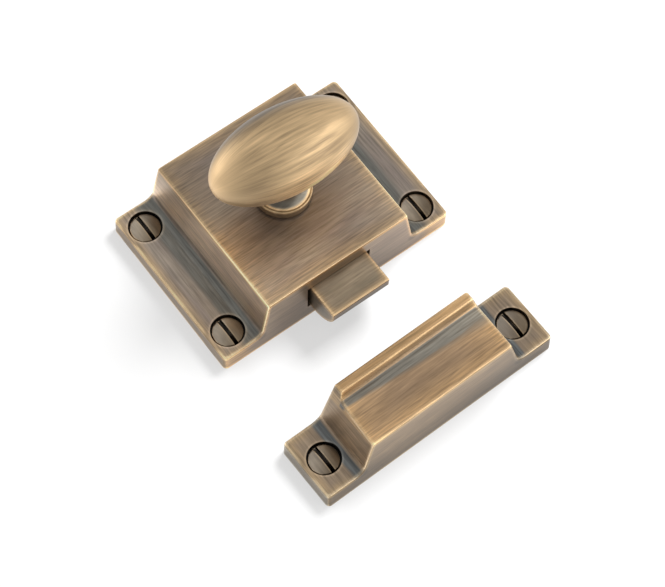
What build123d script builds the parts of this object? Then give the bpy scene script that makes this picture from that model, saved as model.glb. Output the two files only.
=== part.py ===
from build123d import *
import math
import os

os.makedirs("parts", exist_ok=True)

# Cupboard catch latch: a hollow case with an oval knob and a sprung, bevelled bolt,
# and the keep that the bolt shoots into. Both lie on the plane z = 0, which is the face
# of the door and of the frame. X runs along the case, the bolt points to -Y, and Z
# points out of the door. The origin is the middle of the case's base. Sizes are in mm.

# Case
base_width = 70.0
base_depth = 48.4
case_height = 18.6
flange_thickness = 5.3
flange_width = 11.4
side_lean = 2.3
face_lean = 0.65
foot_radius = 2.5
corner_radius = 1.2
edge_radius = 0.5
face_wall = 3.0
top_wall = 4.2
cavity_radius = 1.5

# Fixing screws and the holes that they sit in
screw_end_inset = 5.4
screw_face_inset = 6.45
recess_diameter = 8.8
recess_depth = 1.9
recess_reach = 5.0
head_diameter = 7.9
head_sink = 0.75
head_dome = 0.55
head_rim = 0.5
countersink_depth = 1.9
neck_diameter = 4.2
thread_diameter = 3.8
screw_reach = 11.0
screw_point = 3.0
slot_width = 1.05
slot_depth = 1.1

# Bolt
bolt_width = 17.4
bolt_thickness = 8.8
bolt_projection = 8.9
bolt_side_gap = 0.9
bolt_gap = 0.3
bolt_head_gap = 0.4
nose_thickness = 2.7
bevel_length = 6.5
bevel_bulge = 1.1
nose_radius = 0.35
tail_thickness = 3.0
guide_lip = 1.1
rib_thickness = 2.0

# Knob, spindle and cam
knob_length = 40.9
knob_diameter = 21.7
knob_rise = 20.9
knob_set = -3.9
neck_radius = 4.6
collar_radius = 7.5
collar_height = 2.4
flare_height = 4.0
flare_hollow = 0.3
collar_lip = 0.7
washer_radius = 7.0
washer_thickness = 0.75
spindle_square = 5.0
spindle_foot_radius = 2.4
spindle_foot_gap = 0.4
spindle_chamfer = 0.35
spindle_engagement = 13.5
socket_spare = 0.5
grub_radius = 1.25
grub_height = 7.3
grub_sink = 0.4
grub_slot_width = 0.4
grub_slot_depth = 0.5
turn_angle = 60.0
bolt_travel = 8.5
cam_pin_radius = 1.5
cam_pin_gap = 0.2
cam_rim = 0.8
cam_edge_radius = 0.4
cam_arm_thickness = 3.2
cam_hub_radius = 5.4
cam_arm_shoulder = 0.6
cam_journal_radius = 4.5
bush_wall = 1.4
tail_margin = 2.0

# Bolt spring and its rod
rod_radius = 1.2
rod_socket = 1.2
spring_radius = 2.3
wire_radius = 0.3
spring_turns = 6
lug_thickness = 2.1
lug_width = 10.0
lug_radius = 1.5
pin_chamfer = 0.3

# Back plate
plate_thickness = 1.5
plate_boss_radius = 2.2
plate_head_radius = 1.5
plate_head_margin = 0.6
plate_shank_radius = 0.75
plate_slot_width = 0.5
plate_slot_depth = 0.4
plate_hole_spare = 0.5
rail_width = 2.5
rail_inset = 2.0
rail_end_gap = 1.0

# Keep
keep_width = 71.0
keep_depth = 18.5
keep_height = 16.8
keep_flange_width = 10.9
keep_side_lean = 3.0
keep_face_lean = 1.35
keep_back_lean = 0.3
keep_rise = 1.6
ridge_height = 21.1
ridge_width = 2.6
ridge_slope = 1.0
ridge_radius = 0.75
cove_radius = 1.5
keep_foot_radius = 3.0
keep_edge_radius = 0.6
keep_screw_inset = 5.7
keep_centre = (-0.75, -58.35)
keep_turn = 1.2
pocket_side_gap = 2.3
pocket_top_gap = 0.8
pocket_spare = 1.9
pocket_radius = 1.0

# Fits
running_gap = 0.05
sliding_gap = 0.1

# How far a cut runs past the face that it opens, how far joined forms run into each
# other, and how nearly an edge or a face has to match to be picked
beyond = 1.0
overlap = 0.2
tolerance = 0.01
upright_share = 0.9

# Places that follow from the sizes above
foot_half = base_width / 2 - flange_width
top_half = foot_half - side_lean
screw_x = base_width / 2 - screw_end_inset
screw_y = base_depth / 2 - screw_face_inset
cavity_y = base_depth / 2 - face_wall
ceiling = case_height - top_wall
bolt_top = ceiling - bolt_head_gap
bolt_bottom = bolt_top - bolt_thickness
tail_top = bolt_bottom + tail_thickness
bolt_tip = -base_depth / 2 - bolt_projection
bolt_stop = -cavity_y + sliding_gap
half_turn = math.radians(turn_angle / 2)
crank = bolt_travel / (2 * math.sin(half_turn))
pin_x = crank * math.cos(half_turn)
pin_y = -crank * math.sin(half_turn)
tail_half = crank + cam_pin_radius + cam_pin_gap + tail_margin
head_half = tail_half - guide_lip
plate_screw_x = tail_half + sliding_gap + plate_boss_radius
plate_screw_y = cavity_y - plate_head_radius - plate_head_margin
plate_screw_length = bolt_bottom - running_gap
cavity_x = plate_screw_x + plate_head_radius + plate_head_margin
head_end = -cam_hub_radius - bolt_head_gap - bolt_travel
lug_start = cam_hub_radius + bolt_head_gap
lug_end = lug_start + lug_thickness
cam_bottom = tail_top + bolt_head_gap
cam_reach = crank + cam_pin_radius + cam_rim
rod_z = (tail_top + ceiling) / 2
bush_radius = cam_journal_radius + running_gap + bush_wall
washer_bottom = case_height + running_gap
knob_base = washer_bottom + washer_thickness
knob_centre_z = knob_base + knob_rise
grub_z = knob_base + grub_height


def upright(x, y, low, high, radius):
    """A cylinder standing on the level low and reaching the level high."""
    return Pos(x, y, (low + high) / 2) * Cylinder(radius, high - low)


def block(x, y, z):
    """A box between pairs of coordinates."""
    middle = Pos(sum(x) / 2, sum(y) / 2, sum(z) / 2)
    return middle * Box(x[1] - x[0], y[1] - y[0], z[1] - z[0])


def countersink(x, y, low, high, low_radius, high_radius):
    """A cone about an upright axis, between two levels."""
    return Pos(x, y, (low + high) / 2) * Cone(low_radius, high_radius, high - low)


def casting(width, foot, slope, outline, foot_fillet, edge):
    """A flanged casting: a hat-shaped section along Y, cut to the outline of its side."""
    half = width / 2
    side = Plane.YZ * outline
    top = side.bounding_box().max.Z
    shoulder = foot - slope * (top - flange_thickness)
    right = [(half, 0), (half, flange_thickness), (foot, flange_thickness), (shoulder, top)]
    left = [(-x, z) for x, z in reversed(right)]
    section = make_face(Polyline(*right, *left, close=True))
    feet = [v for v in section.vertices() if abs(abs(v.X) - foot) < tolerance]
    section = fillet(feet, foot_fillet)
    body = extrude(Plane.XZ * section, amount=base_depth, both=True)
    body = body & extrude(side, amount=half, both=True)
    outer = [e for e in body.edges() if abs(abs(e.center().X) - half) < tolerance]
    corners = [e for e in outer if abs(e.tangent_at(0.5).Z) > upright_share]
    body = fillet(corners, corner_radius)
    faces = [f for f in body.faces() if f.normal_at().Y < -upright_share]
    front = [f for f in faces if f.center().Z > flange_thickness / 2]
    rim = [e for f in front for e in f.edges() if e.center().Z > tolerance]
    return fillet(rim, edge)


def recess(x, y, surface):
    """What a fixing screw's hole takes out of a flange: bore, countersink and recess."""
    seat = surface - recess_depth
    hole = upright(x, y, -beyond, surface, neck_diameter / 2 + sliding_gap)
    hole += countersink(
        x, y, seat - countersink_depth, seat,
        neck_diameter / 2 + sliding_gap, head_diameter / 2 + sliding_gap,
    )
    return hole + upright(x, y, seat, surface + recess_reach, recess_diameter / 2)


def case_guides():
    """The ribs, bosses and rod seat that are cast inside the case."""
    inner = tail_half + sliding_gap
    outer = inner + rib_thickness
    floor = plate_thickness + running_gap
    guides = []
    for side in (-1, 1):
        lower = sorted((side * inner, side * outer))
        upper = sorted((side * (head_half + sliding_gap), side * outer))
        guides.append(block(lower, (-cavity_y, cavity_y), (floor, ceiling)))
        guides.append(block(upper, (-cavity_y, cavity_y), (tail_top + running_gap, ceiling)))
    for x in (-plate_screw_x, plate_screw_x):
        for y in (-plate_screw_y, plate_screw_y):
            guides.append(upright(x, y, floor, ceiling, plate_boss_radius))
    swing = upright(0, 0, tail_top - beyond, ceiling, cam_reach + bolt_head_gap)
    return [guide - swing for guide in guides]


def make_latch_case():
    """The cast case: a hat-shaped body, hollow from the back, with a slot for the bolt."""
    front = base_depth / 2
    brow = front - face_lean
    corners = [(-front, 0), (front, 0), (brow, case_height), (-brow, case_height)]
    outline = make_face(Polyline(*corners, close=True))
    brows = [v for v in outline.vertices() if v.Y > case_height - tolerance]
    outline = fillet(brows, edge_radius)
    slope = side_lean / (case_height - flange_thickness)
    body = casting(base_width, foot_half, slope, outline, foot_radius, edge_radius)
    cavity = block((-cavity_x, cavity_x), (-cavity_y, cavity_y), (-beyond, ceiling))
    body -= fillet(cavity.edges().filter_by(Axis.Z), cavity_radius)
    for guide in case_guides():
        body += guide
    slot_half = bolt_width / 2 + bolt_side_gap
    body -= block(
        (-slot_half, slot_half), (-base_depth, -cavity_y + tolerance),
        (bolt_bottom - bolt_gap, bolt_top + bolt_gap),
    )
    body -= upright(0, 0, ceiling - beyond, case_height + beyond, bush_radius)
    back_hole = Pos(0, cavity_y + rod_socket / 2, rod_z) * Rot(90, 0, 0)
    body -= back_hole * Cylinder(rod_radius, rod_socket)
    for x in (-screw_x, screw_x):
        for y in (-screw_y, screw_y):
            body -= recess(x, y, flange_thickness)
    hole_end = plate_screw_length + plate_hole_spare
    for x in (-plate_screw_x, plate_screw_x):
        for y in (-plate_screw_y, plate_screw_y):
            body -= upright(x, y, 0, hole_end, plate_shank_radius + running_gap)
    return body


def make_back_plate():
    """The plate that closes the case, with the bearing of the spindle and two rails."""
    x = cavity_x - sliding_gap
    y = cavity_y - sliding_gap
    plate = block((-x, x), (-y, y), (0, plate_thickness))
    plate = fillet(plate.edges().filter_by(Axis.Z), cavity_radius)
    rail_outer = head_half - rail_inset
    rail_y = (-y + rail_end_gap, y - rail_end_gap)
    rail_z = (plate_thickness - overlap, bolt_bottom - running_gap)
    for side in (-1, 1):
        rail_x = sorted((side * rail_outer, side * (rail_outer - rail_width)))
        plate += block(rail_x, rail_y, rail_z)
    above = plate_thickness + beyond
    plate -= upright(0, 0, -beyond, above, spindle_foot_radius + running_gap)
    for sx in (-plate_screw_x, plate_screw_x):
        for sy in (-plate_screw_y, plate_screw_y):
            plate -= upright(sx, sy, -beyond, above, plate_shank_radius + running_gap)
            plate -= countersink(
                sx, sy, 0, plate_head_radius - plate_shank_radius,
                plate_head_radius + running_gap, plate_shank_radius + running_gap,
            )
    return plate


def make_plate_screw(x, y):
    """A small countersunk screw, driven in from the back."""
    head = plate_head_radius - plate_shank_radius
    screw = countersink(x, y, 0, head, plate_head_radius, plate_shank_radius)
    screw += upright(x, y, head, plate_screw_length, plate_shank_radius)
    slot_half = plate_slot_width / 2
    return screw - block(
        (x - plate_head_radius, x + plate_head_radius), (y - slot_half, y + slot_half),
        (-beyond, plate_slot_depth),
    )


def make_fixing_screw(x, y, surface):
    """A slotted wood screw with a raised countersunk head, sunk into its recess."""
    rim = surface - head_sink
    under = rim - head_rim
    head_radius = head_diameter / 2
    seat = surface - recess_depth
    cone_foot = seat - countersink_depth
    profile = [
        (0, -screw_reach), (thread_diameter / 2, -screw_reach + screw_point),
        (thread_diameter / 2, 0), (neck_diameter / 2, 0), (neck_diameter / 2, cone_foot),
        (head_radius, seat), (head_radius, rim),
    ]
    outline = Polyline(*profile)
    outline += ThreePointArc(
        (head_radius, rim), (head_radius / 2, rim + head_dome * 3 / 4), (0, rim + head_dome)
    )
    outline += Line((0, rim + head_dome), (0, -screw_reach))
    screw = revolve(Plane.XZ * make_face(outline), Axis.Z)
    slot = block(
        (-slot_width / 2, slot_width / 2), (-head_diameter, head_diameter),
        (rim + head_dome - slot_depth, surface + beyond),
    )
    return Pos(x, y, 0) * (screw - slot)


def make_bolt():
    """The sprung bolt: a bevelled head, and a slotted tail that the cam's pin draws back."""
    low = bolt_bottom
    nose_low = bolt_top - nose_thickness
    start = (bolt_tip, nose_low)
    end = (bolt_tip + bevel_length, low)
    middle = ((start[0] + end[0]) / 2, (start[1] + end[1]) / 2)
    length = math.dist(start, end)
    out = ((end[1] - start[1]) / length, -(end[0] - start[0]) / length)
    bulge = (middle[0] + out[0] * bevel_bulge, middle[1] + out[1] * bevel_bulge)
    outline = ThreePointArc(start, bulge, end)
    outline += Polyline(end, (bolt_stop, low), (bolt_stop, bolt_top), (bolt_tip, bolt_top), start)
    nose = extrude(Plane.YZ * make_face(outline), amount=bolt_width / 2, both=True)
    ahead = [e for e in nose.edges() if e.center().Y < bolt_stop - overlap]
    nose = fillet([e for e in ahead if e.center().Z > nose_low - tolerance], nose_radius)
    half = bolt_width / 2
    bolt = nose + block((-half, half), (bolt_stop - overlap, head_end), (low, bolt_top))
    bolt += block((-head_half, head_half), (bolt_stop, head_end), (low, bolt_top))
    bolt += block((-tail_half, tail_half), (bolt_stop, lug_end), (low, tail_top))
    lug_half = lug_width / 2
    lug = block((-lug_half, lug_half), (lug_start, lug_end), (tail_top - overlap, bolt_top))
    bolt += fillet([e for e in lug.edges().filter_by(Axis.Y) if e.center().Z > rod_z], lug_radius)
    rod_hole = Pos(0, (lug_start + lug_end) / 2, rod_z) * Rot(90, 0, 0)
    bolt -= rod_hole * Cylinder(rod_radius + running_gap, 2 * lug_thickness)
    spindle_way = SlotCenterToCenter(bolt_travel, 2 * (spindle_foot_radius + bolt_gap), rotation=90)
    through = tail_thickness + 2 * beyond
    bolt -= Pos(0, -bolt_travel / 2, low - beyond) * extrude(spindle_way, amount=through)
    wide = crank - pin_x
    pin_way = SlotCenterToCenter(wide, 2 * (cam_pin_radius + cam_pin_gap))
    return bolt - Pos(pin_x + wide / 2, pin_y, low - beyond) * extrude(pin_way, amount=through)


def make_cam():
    """The cam: a hub that turns in the bush, with an arm over the bolt's tail."""
    arm_end = Pos(pin_x, pin_y) * Circle(cam_pin_radius + cam_rim)
    shape = make_hull([Circle(cam_hub_radius - cam_arm_shoulder).edge(), arm_end.edge()])
    cam = Pos(0, 0, cam_bottom) * extrude(shape, amount=cam_arm_thickness)
    cam = fillet(cam.edges().group_by(Axis.Z)[-1], cam_edge_radius)
    cam += upright(0, 0, cam_bottom, ceiling - sliding_gap, cam_hub_radius)
    cam += upright(0, 0, cam_bottom, case_height, cam_journal_radius)
    socket = spindle_square / 2 + running_gap
    cam -= block((-socket, socket), (-socket, socket), (0, case_height + beyond))
    return cam - upright(pin_x, pin_y, 0, case_height, cam_pin_radius)


def make_cam_pin():
    """The steel pin that is riveted into the cam's arm and stands in the bolt's slot."""
    top = cam_bottom + cam_arm_thickness
    pin = upright(pin_x, pin_y, bolt_bottom + bolt_head_gap, top, cam_pin_radius)
    return chamfer(pin.edges().group_by(Axis.Z)[0], pin_chamfer)


def make_spindle():
    """The square spindle, turned down to a round foot that runs in the back plate."""
    half = spindle_square / 2
    top = knob_base + spindle_engagement
    spindle = block((-half, half), (-half, half), (cam_bottom - overlap, top))
    spindle = chamfer(spindle.edges().filter_by(Axis.Z), spindle_chamfer)
    spindle = chamfer(spindle.edges().group_by(Axis.Z)[-1], spindle_chamfer)
    return spindle + upright(0, 0, spindle_foot_gap, cam_bottom, spindle_foot_radius)


def make_knob():
    """The oval knob: an ellipsoid on a waisted neck with a flared collar, a little round from X."""
    half_length = knob_length / 2
    half_height = knob_diameter / 2
    corner = Pos(half_length, half_height) * Rectangle(knob_length, knob_diameter)
    quarter = Ellipse(half_length, half_height) & corner
    dome = Pos(0, 0, knob_centre_z) * revolve(Plane.XZ * quarter, Axis.X)
    rim = knob_base + collar_height
    waist = rim + flare_height
    lip = collar_radius - collar_lip
    hollow = (neck_radius + (lip - neck_radius) * flare_hollow, rim + flare_height * flare_hollow)
    middle = (0, knob_centre_z)
    collar = [(0, knob_base), (collar_radius, knob_base), (collar_radius, rim), (lip, rim)]
    outline = Polyline(middle, *collar)
    outline += ThreePointArc((lip, rim), hollow, (neck_radius, waist))
    outline += Polyline((neck_radius, waist), (neck_radius, knob_centre_z), middle)
    neck = revolve(Plane.XZ * make_face(outline), Axis.Z)
    level = [e for e in neck.edges() if abs(e.center().Z - rim) < tolerance]
    neck = fillet([e for e in level if e.radius > collar_radius - tolerance], collar_lip / 2)
    socket = spindle_square / 2 + running_gap
    socket_top = knob_base + spindle_engagement + socket_spare
    # The two domes stay two faces, because one closed face with a hole in it reads back wrong.
    oval = dome.fuse(mirror(dome, Plane.YZ)).rotate(Axis.Z, knob_set)
    knob = oval.fuse(neck)
    knob = knob.cut(block((-socket, socket), (-socket, socket), (knob_base - beyond, socket_top)))
    return knob.cut(grub_place(grub_radius, neck_radius))


def grub_place(radius, end):
    """A cylinder from the spindle's flat outwards, on the side away from the bolt."""
    start = spindle_square / 2
    return Pos(0, (start + end) / 2, grub_z) * Rot(90, 0, 0) * Cylinder(radius, end - start)


def make_grub_screw():
    """The headless screw that holds the knob on the spindle."""
    outer = neck_radius - grub_sink
    slot = Pos(0, outer, grub_z) * Box(3 * grub_radius, 2 * grub_slot_depth, grub_slot_width)
    return grub_place(grub_radius, outer) - slot


def make_knob_washer():
    """The thin washer between the knob's collar and the case."""
    ring = upright(0, 0, washer_bottom, knob_base, washer_radius)
    return ring - upright(0, 0, 0, knob_base + beyond, cam_journal_radius + sliding_gap)


def make_spindle_bush():
    """The bush that is pressed into the case and carries the cam's hub."""
    ring = upright(0, 0, ceiling, case_height, bush_radius)
    return ring - upright(0, 0, 0, case_height + beyond, cam_journal_radius + running_gap)


def make_spring_rod():
    """The rod that guides the spring, seated in the back wall and running through the lug."""
    start = lug_start + overlap
    end = cavity_y + rod_socket
    rod = Pos(0, (start + end) / 2, rod_z) * Rot(90, 0, 0) * Cylinder(rod_radius, end - start)
    return chamfer(rod.edges().group_by(Axis.Y)[0], pin_chamfer)


def make_bolt_spring():
    """The coil spring between the bolt's lug and the back wall of the case."""
    start = lug_end + running_gap + wire_radius
    end = cavity_y - running_gap - wire_radius
    coil = Helix((end - start) / spring_turns, end - start, spring_radius)
    path = Pos(0, start, rod_z) * Rot(-90, 0, 0) * coil
    section = Plane(path @ 0, z_dir=path % 0) * Circle(wire_radius)
    return sweep(section, path=path, is_frenet=True)


def keep_outline():
    """The keep seen from its end: a leaning outer face, a dip, and a ridge beside the latch."""
    outer = -keep_depth / 2
    inner = keep_depth / 2
    ridge_outer = inner - keep_back_lean
    ridge_inner = ridge_outer - ridge_width
    valley = (ridge_inner - ridge_slope, keep_height + keep_rise)
    brow = (outer + keep_face_lean, keep_height)
    crest = [(ridge_outer, ridge_height), (ridge_inner, ridge_height)]
    outline = make_face(Polyline((outer, 0), (inner, 0), *crest, valley, brow, close=True))
    radii = {crest[0]: ridge_radius, crest[1]: ridge_radius, valley: cove_radius, brow: keep_edge_radius}
    for place, radius in radii.items():
        corner = [v for v in outline.vertices() if math.dist((v.X, v.Y), place) < tolerance]
        outline = fillet(corner, radius)
    return outline


def make_keep():
    """The keep: a flanged casting with a ridge beside the latch and a pocket under it."""
    slope = keep_side_lean / (keep_height - flange_thickness)
    foot = keep_width / 2 - keep_flange_width
    body = casting(keep_width, foot, slope, keep_outline(), keep_foot_radius, keep_edge_radius)
    inner = keep_depth / 2
    pocket_half = bolt_width / 2 + pocket_side_gap
    pocket_back = inner - bolt_projection - pocket_spare
    pocket_z = (-beyond, bolt_top + pocket_top_gap)
    pocket = block((-pocket_half, pocket_half), (pocket_back, inner + beyond), pocket_z)
    body -= fillet([e for e in pocket.edges().filter_by(Axis.Z) if e.center().Y < 0], pocket_radius)
    for x in keep_screw_places():
        body -= recess(x, 0, flange_thickness)
    return body


def keep_screw_places():
    """How far the keep's two screws stand from its middle."""
    reach = keep_width / 2 - keep_screw_inset
    return (-reach, reach)


def main():
    laid_out = Pos(keep_centre[0], keep_centre[1], 0) * Rot(0, 0, keep_turn)
    parts = {
        "latch_case": make_latch_case(),
        "back_plate": make_back_plate(),
        "spindle_bush": make_spindle_bush(),
        "spring_rod": make_spring_rod(),
        "bolt_spring": make_bolt_spring(),
        "bolt": make_bolt(),
        "knob": make_knob(),
        "knob_washer": make_knob_washer(),
        "spindle": make_spindle(),
        "grub_screw": make_grub_screw(),
        "cam": make_cam(),
        "cam_pin": make_cam_pin(),
        "keep": laid_out * make_keep(),
    }
    corners = [(-1, -1), (1, -1), (1, 1), (-1, 1)]
    for number, (sx, sy) in enumerate(corners, 1):
        fixing = make_fixing_screw(sx * screw_x, sy * screw_y, flange_thickness)
        parts[f"case_screw_{number}"] = fixing
        parts[f"plate_screw_{number}"] = make_plate_screw(sx * plate_screw_x, sy * plate_screw_y)
    for number, x in enumerate(keep_screw_places(), 1):
        parts[f"keep_screw_{number}"] = laid_out * make_fixing_screw(x, 0, flange_thickness)
    for name, part in parts.items():
        export_step(part, f"parts/{name}.step")


main()
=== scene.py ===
import math

import bmesh
import bpy
from mathutils import Matrix, Vector


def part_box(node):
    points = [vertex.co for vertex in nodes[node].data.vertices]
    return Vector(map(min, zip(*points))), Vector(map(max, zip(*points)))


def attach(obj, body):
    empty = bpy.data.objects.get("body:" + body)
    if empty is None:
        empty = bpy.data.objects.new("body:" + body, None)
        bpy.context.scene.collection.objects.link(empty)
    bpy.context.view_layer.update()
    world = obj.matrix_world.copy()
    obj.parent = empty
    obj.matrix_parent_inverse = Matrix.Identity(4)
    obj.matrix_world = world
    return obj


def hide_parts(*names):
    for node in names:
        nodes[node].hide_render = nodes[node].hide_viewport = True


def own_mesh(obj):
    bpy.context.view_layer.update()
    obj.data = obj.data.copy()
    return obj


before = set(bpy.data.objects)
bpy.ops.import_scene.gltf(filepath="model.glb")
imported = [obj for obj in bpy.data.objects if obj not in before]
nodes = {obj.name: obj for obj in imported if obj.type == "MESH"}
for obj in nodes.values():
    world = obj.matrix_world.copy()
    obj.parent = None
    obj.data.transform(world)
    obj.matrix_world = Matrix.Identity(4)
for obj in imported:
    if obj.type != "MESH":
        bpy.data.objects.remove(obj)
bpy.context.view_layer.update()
mm = 0.001
print("frame loaded:", len(nodes), "parts")


# Where the sides and the screws of the two castings are, as in the part's source,
# and how far the patina reaches from the foot of a slope and how far back the painted light and shade changes

caseShape = {
    "reach": 35.0 * mm,
    "deep": 24.2 * mm,
    "flange": 5.3 * mm,
    "foot": 23.6 * mm,
    "half": 21.3 * mm,
    "top": 18.6 * mm,
    "brow": 23.5 * mm,
    "back": 23.5 * mm,
    "screwX": 29.6 * mm,
    "screwY": 17.75 * mm,
    "slotHalf": 9.6 * mm,
    "slotTop": 14.3 * mm,
    "patinaReach": 8.5 * mm,
    "paintedLightBack": 1.0,
}
keepShape = {
    "centre": (-0.75 * mm, -58.35 * mm, 0.0),
    "turn": math.radians(1.2),
    "reach": 35.5 * mm,
    "deep": 9.25 * mm,
    "flange": 5.3 * mm,
    "foot": 24.6 * mm,
    "half": 21.6 * mm,
    "top": 17.0 * mm,
    "brow": 7.9 * mm,
    "back": 30.0 * mm,
    "valley": 4.4 * mm,
    "ridgeFoot": 18.4 * mm,
    "screwX": 29.8 * mm,
    "screwY": 0.0,
    "slotHalf": 0.0,
    "slotTop": 0.0,
    "patinaReach": 3.6 * mm,
    "paintedLightBack": 0.5,
}


# Camera and light

cameraValues = {
    "place": (-0.177398, -0.222926, 0.568145),
    "azimuth": -41.4545,
    "elevation": 64.8459,
    "roll": 5.1041,
    "lens": 134.646,
    "sensor": 36.0,
    "nearest": 0.01,
}


def direction(turn, rise):
    # the way from the object to a place seen at these angles, in degrees
    turn, rise = math.radians(turn), math.radians(rise)
    return Vector((math.sin(turn) * math.cos(rise), -math.cos(turn) * math.cos(rise), math.sin(rise)))


def addCamera(values):
    back = direction(values["azimuth"], values["elevation"])
    roll = math.radians(values["roll"])
    right = Vector((0, 0, 1)).cross(back).normalized()
    up = back.cross(right)
    tiltedRight = right * math.cos(roll) + up * math.sin(roll)
    tiltedUp = up * math.cos(roll) - right * math.sin(roll)
    turned = Matrix((tiltedRight, tiltedUp, back)).transposed().to_4x4()
    camera = bpy.data.objects.new("camera", bpy.data.cameras.new("camera"))
    camera.data.sensor_width = values["sensor"]
    camera.data.lens = values["lens"]
    camera.data.clip_start = values["nearest"]
    camera.matrix_world = Matrix.Translation(values["place"]) @ turned
    bpy.context.scene.collection.objects.link(camera)
    bpy.context.scene.camera = camera


lightValues = {
    "room": 0.68,
    "aim": (0.0, -0.02, 0.015),
    "boxes": {
        # azimuth, elevation, distance, width, height, power, mirrored by the metal
        "frontRight": (45, 26, 0.55, 0.60, 0.44, 1.15, True),
        "backLeft": (-152, 10, 0.55, 0.44, 0.20, 0.40, True),
        # this one throws the soft shadows
        "shade": (102, 51, 0.55, 0.24, 0.24, 5.9, False),
    },
}


def addLights(values):
    scene = bpy.context.scene
    scene.view_settings.view_transform = "Standard"
    world = bpy.data.worlds.new("room")
    world.use_nodes = True
    background = world.node_tree.nodes["Background"]
    background.inputs["Color"].default_value = (1, 1, 1, 1)
    background.inputs["Strength"].default_value = values["room"]
    scene.world = world
    for name, (turn, rise, distance, width, height, power, mirrored) in values["boxes"].items():
        away = direction(turn, rise)
        turned = away.to_track_quat("Z", "Y").to_matrix().to_4x4()
        light = bpy.data.objects.new(name, bpy.data.lights.new(name, "AREA"))
        light.data.shape = "RECTANGLE"
        light.data.size, light.data.size_y = width, height
        light.data.energy = power
        light.visible_glossy = mirrored
        light.matrix_world = Matrix.Translation(Vector(values["aim"]) + away * distance) @ turned
        scene.collection.objects.link(light)


addCamera(cameraValues)
addLights(lightValues)
print("camera and lights placed")


# Node trees are written as Python expressions

class Wire:
    # one output of a node: sums and products of it add Math nodes to its tree
    def __init__(self, tree, output=None):
        self.tree = tree
        self.output = output

    def node(self, kind, settings=None, inputs=None, output=0):
        made = self.tree.nodes.new(kind)
        for name, value in (settings or {}).items():
            setattr(made, name, value)
        for name, value in (inputs or {}).items():
            if isinstance(value, (Wire, list)):
                for source in value if isinstance(value, list) else [value]:
                    self.tree.links.new(source.output, made.inputs[name])
            else:
                made.inputs[name].default_value = value
        return Wire(self.tree, made.outputs[output] if made.outputs else None)

    def maths(self, operation, *values):
        return self.node("ShaderNodeMath", {"operation": operation}, dict(enumerate(values)))

    def __add__(self, other):
        return self.maths("ADD", self, other)

    def __radd__(self, other):
        return self.maths("ADD", other, self)

    def __sub__(self, other):
        return self.maths("SUBTRACT", self, other)

    def __rsub__(self, other):
        return self.maths("SUBTRACT", other, self)

    def __mul__(self, other):
        return self.maths("MULTIPLY", self, other)

    def __rmul__(self, other):
        return self.maths("MULTIPLY", other, self)

    def __truediv__(self, other):
        return self.maths("DIVIDE", self, other)

    def __rtruediv__(self, other):
        return self.maths("DIVIDE", other, self)

    def __abs__(self):
        return self.maths("ABSOLUTE", self)


def larger(first, second):
    return first.maths("MAXIMUM", first, second)


def smaller(first, second):
    return first.maths("MINIMUM", first, second)


def root(value):
    return value.maths("SQRT", value)


def sign(value):
    return value.maths("SIGN", value)


def step(value, low, high):
    # 0 below low, 1 above high, smooth between; low may be the larger
    return value.node(
        "ShaderNodeMapRange", {"interpolation_type": "SMOOTHSTEP"},
        {"Value": value, "From Min": low, "From Max": high, "To Min": 0.0, "To Max": 1.0},
    )


def stepFrom(value, place, limits):
    # a step between two limits that are measured from a place
    return step(value, place + limits[0], place + limits[1])


def paintedLight(first, second, terms):
    # painted light and shade: e to the power of a polynomial in two wires, whose terms are (power, power,
    # share)
    total = 0.0
    for firstPower, secondPower, share in terms:
        part = share
        for factor in [first] * firstPower + [second] * secondPower:
            part = part * factor
        total = total + part
    return first.maths("EXPONENT", total)


def mixColour(amount, first, second):
    return amount.node("ShaderNodeMix", {"data_type": "RGBA"}, {0: amount, 6: first, 7: second}, output=2)


def tinted(paint, tint):
    return paint.node("ShaderNodeVectorMath", {"operation": "MULTIPLY"}, {0: paint, 1: tint})


def tintedWhere(amount, paint, tint):
    # the tint comes in with the amount
    return tinted(paint, mixColour(amount, (1, 1, 1, 1), (*tint, 1)))


def scaleColour(paint, amount):
    # amount is a wire of numbers round 1
    return paint.node("ShaderNodeVectorMath", {"operation": "SCALE"}, {0: paint, "Scale": amount})


def stretched(place, x, y, z):
    return place.node("ShaderNodeVectorMath", {"operation": "MULTIPLY"}, {0: place, 1: (x, y, z)})


def separate(place):
    return [place.node("ShaderNodeSeparateXYZ", {}, {0: place}, output=axis) for axis in range(3)]


def noise(place, scale, detail, roughness):
    inputs = {"Vector": place, "Scale": scale, "Detail": detail, "Roughness": roughness}
    return place.node("ShaderNodeTexNoise", {}, inputs)


def occlusion(wire, reach, inside):
    return wire.node(
        "ShaderNodeAmbientOcclusion", {"samples": 8, "inside": inside, "only_local": True},
        {"Distance": reach}, output="AO",
    )


def colour(red, green, blue):
    # a screen colour of 0 to 255, made linear
    parts = [c / 255 for c in (red, green, blue)]
    return (*[c / 12.92 if c < 0.04045 else ((c + 0.055) / 1.055) ** 2.4 for c in parts], 1.0)


# What all finishes share

metalShader = {"Metallic": 0.95, "Coat Weight": 0.25, "Coat Roughness": 0.35}
brushValues = {
    # how much wider and shorter the broad marks are than the fine ones
    "wider": 7.0,
    "shorter": 2.5,
    # detail and roughness of their noise
    "fine": (2.0, 0.6),
    "broad": (3.0, 0.55),
}
# towards the right of the photo, along the door
rightward = (0.75, -0.66)


def startMaterial(name):
    material = bpy.data.materials.new(name)
    material.use_nodes = True
    tree = material.node_tree
    tree.nodes.clear()
    return material, Wire(tree)


def finishMaterial(wire, paint, roughness, bump, bumpHeight, strength):
    bumped = wire.node("ShaderNodeBump", {}, {"Strength": strength, "Distance": bumpHeight, "Height": bump})
    inputs = {**metalShader, "Base Color": paint, "Roughness": roughness, "Normal": bumped}
    shader = wire.node("ShaderNodeBsdfPrincipled", {}, inputs)
    wire.node("ShaderNodeOutputMaterial", {}, {"Surface": shader})


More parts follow.
